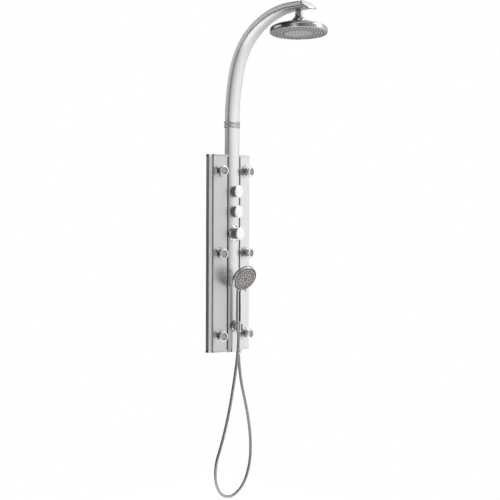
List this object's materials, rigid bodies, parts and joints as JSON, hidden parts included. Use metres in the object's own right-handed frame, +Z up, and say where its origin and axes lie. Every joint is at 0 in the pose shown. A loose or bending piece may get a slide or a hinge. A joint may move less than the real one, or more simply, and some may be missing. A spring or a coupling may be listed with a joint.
{
  "type": "shower column",
  "caption": "Wall shower column: swept aluminium panel, arched arm with swivelling rain head, turning knobs, swivelling body jets, handset on a hose.",
  "frame": {"origin": "middle of the four wall screws, on the plane of the wall", "axes": "+Z up along the column, +Y into the wall, +X to the right of a person who faces the column"},
  "size_m": [0.2196, 0.4562, 1.7985],
  "materials": {
    "panel_aluminium": "satin brushed anodised",
    "column_aluminium": "satin anodised extrusion",
    "chrome": "polished chrome plate",
    "jet_chrome": "polished chrome with a grey rubber spray face",
    "steel": "plain stainless sheet",
    "brass": "as machined",
    "pipe": "white water pipe",
    "black_plastic": "moulded acetal",
    "spray_grey": "warm grey moulded face",
    "hose_steel": "spiral wound stainless hose"
  },
  "bodies": {
    "root": {"arch_arm": "column_aluminium", "arm_end_cap": "chrome", "bottom_end_cap": "chrome", "cap_screws": "steel", "collar_rings": "chrome", "column_extrusion": "column_aluminium", "head_nipple": "chrome", "holder_base": "chrome", "hose_outlet": "brass", "jet_locknuts": "brass", "joint_sleeve": "steel", "knob_seats": "chrome", "left_wing": "panel_aluminium", "lower_left_jet_socket": "chrome", "lower_right_jet_socket": "chrome", "middle_left_jet_socket": "chrome", "middle_right_jet_socket": "chrome", "mixer_escutcheon": "chrome", "mixer_valve_body": "brass", "outlet_nut": "chrome", "outlet_valve_bodies": "brass", "rear_chassis": "steel", "right_wing": "panel_aluminium", "riser_pipe": "brass", "shower_hose": "hose_steel", "top_end_cap": "chrome", "upper_left_jet_socket": "chrome", "upper_right_jet_socket": "chrome", "wall_brackets": "steel", "water_pipes": "pipe"},
    "head_bearing": {"head_seat": "black_plastic"},
    "rain_head": {"head_swivel_nut": "chrome", "head_dome": "chrome", "head_gasket": "black_plastic", "head_spray_plate": "spray_grey"},
    "rain_control": {"rain_knob": "chrome", "rain_knob_cap": "chrome", "rain_knob_spindle": "brass"},
    "jet_control": {"jet_knob": "chrome", "jet_knob_cap": "chrome", "jet_knob_spindle": "brass"},
    "mixer_control": {"mixer_knob": "chrome", "mixer_knob_cap": "chrome", "mixer_knob_spindle": "brass"},
    "holder_arm": {"holder_cradle": "chrome"},
    "hose_end": {"hose_cone_nut": "chrome"},
    "handset": {"handset_body": "chrome"},
    "handset_selector": {"handset_face": "spray_grey"},
    "upper_left_jet_ring": {"upper_left_jet_seat": "black_plastic"},
    "upper_left_jet": {"upper_left_jet_nozzle": "jet_chrome"},
    "upper_right_jet_ring": {"upper_right_jet_seat": "black_plastic"},
    "upper_right_jet": {"upper_right_jet_nozzle": "jet_chrome"},
    "middle_left_jet_ring": {"middle_left_jet_seat": "black_plastic"},
    "middle_left_jet": {"middle_left_jet_nozzle": "jet_chrome"},
    "middle_right_jet_ring": {"middle_right_jet_seat": "black_plastic"},
    "middle_right_jet": {"middle_right_jet_nozzle": "jet_chrome"},
    "lower_left_jet_ring": {"lower_left_jet_seat": "black_plastic"},
    "lower_left_jet": {"lower_left_jet_nozzle": "jet_chrome"},
    "lower_right_jet_ring": {"lower_right_jet_seat": "black_plastic"},
    "lower_right_jet": {"lower_right_jet_nozzle": "jet_chrome"}
  },
  "joints": [
    {"name": "head_turn", "type": "hinge", "parent": "root", "child": "head_bearing", "pos_m": [0, -0.351, 0.848], "axis": [0, 0, 1], "continuous": true},
    {"name": "head_tilt", "type": "hinge", "parent": "head_bearing", "child": "rain_head", "pos_m": [0, -0.351, 0.848], "axis": [-0.6883, 0.7254, 0], "range_deg": [-20, 10]},
    {"name": "rain_knob_turn", "type": "hinge", "parent": "root", "child": "rain_control", "pos_m": [0, -0.05, 0.228], "axis": [0, 1, 0], "range_deg": [0, 90]},
    {"name": "jet_knob_turn", "type": "hinge", "parent": "root", "child": "jet_control", "pos_m": [0, -0.05, 0.154], "axis": [0, 1, 0], "range_deg": [0, 90]},
    {"name": "mixer_knob_turn", "type": "hinge", "parent": "root", "child": "mixer_control", "pos_m": [0, -0.055, 0.073], "axis": [0, 1, 0], "range_deg": [0, 270]},
    {"name": "upper_left_jet_pan", "type": "hinge", "parent": "root", "child": "upper_left_jet_ring", "pos_m": [-0.06618, -0.0332, 0.303], "axis": [0, 0, 1], "range_deg": [-12, 12]},
    {"name": "upper_left_jet_tilt", "type": "hinge", "parent": "upper_left_jet_ring", "child": "upper_left_jet", "pos_m": [-0.06618, -0.0332, 0.303], "axis": [0.9831, -0.1833, 0], "range_deg": [-12, 12]},
    {"name": "upper_right_jet_pan", "type": "hinge", "parent": "root", "child": "upper_right_jet_ring", "pos_m": [0.06618, -0.0332, 0.303], "axis": [0, 0, 1], "range_deg": [-12, 12]},
    {"name": "upper_right_jet_tilt", "type": "hinge", "parent": "upper_right_jet_ring", "child": "upper_right_jet", "pos_m": [0.06618, -0.0332, 0.303], "axis": [0.9831, 0.1833, 0], "range_deg": [-12, 12]},
    {"name": "middle_left_jet_pan", "type": "hinge", "parent": "root", "child": "middle_left_jet_ring", "pos_m": [-0.06618, -0.0332, 0], "axis": [0, 0, 1], "range_deg": [-12, 12]},
    {"name": "middle_left_jet_tilt", "type": "hinge", "parent": "middle_left_jet_ring", "child": "middle_left_jet", "pos_m": [-0.06618, -0.0332, 0], "axis": [0.9831, -0.1833, 0], "range_deg": [-12, 12]},
    {"name": "middle_right_jet_pan", "type": "hinge", "parent": "root", "child": "middle_right_jet_ring", "pos_m": [0.06618, -0.0332, 0], "axis": [0, 0, 1], "range_deg": [-12, 12]},
    {"name": "middle_right_jet_tilt", "type": "hinge", "parent": "middle_right_jet_ring", "child": "middle_right_jet", "pos_m": [0.06618, -0.0332, 0], "axis": [0.9831, 0.1833, 0], "range_deg": [-12, 12]},
    {"name": "lower_left_jet_pan", "type": "hinge", "parent": "root", "child": "lower_left_jet_ring", "pos_m": [-0.06618, -0.0332, -0.303], "axis": [0, 0, 1], "range_deg": [-12, 12]},
    {"name": "lower_left_jet_tilt", "type": "hinge", "parent": "lower_left_jet_ring", "child": "lower_left_jet", "pos_m": [-0.06618, -0.0332, -0.303], "axis": [0.9831, -0.1833, 0], "range_deg": [-12, 12]},
    {"name": "lower_right_jet_pan", "type": "hinge", "parent": "root", "child": "lower_right_jet_ring", "pos_m": [0.06618, -0.0332, -0.303], "axis": [0, 0, 1], "range_deg": [-12, 12]},
    {"name": "lower_right_jet_tilt", "type": "hinge", "parent": "lower_right_jet_ring", "child": "lower_right_jet", "pos_m": [0.06618, -0.0332, -0.303], "axis": [0.9831, 0.1833, 0], "range_deg": [-12, 12]},
    {"name": "holder_swivel", "type": "hinge", "parent": "root", "child": "holder_arm", "pos_m": [0, -0.05, -0.27], "axis": [0, 1, 0], "range_deg": [-20, 20], "deforming": ["shower_hose"]},
    {"name": "handset_lift", "type": "slide", "parent": "holder_arm", "child": "hose_end", "axis": [0, 0, 1], "range_m": [0, 0.06], "deforming": ["shower_hose"]},
    {"name": "handset_turn", "type": "hinge", "parent": "hose_end", "child": "handset", "pos_m": [0, -0.066, -0.2], "axis": [0, 0, 1], "range_deg": [-40, 58]},
    {"name": "spray_select", "type": "hinge", "parent": "handset", "child": "handset_selector", "pos_m": [-0.00604, -0.10412, -0.0928], "axis": [-0.1368, -0.8639, -0.4848], "range_deg": [-45, 45]}
  ]
}
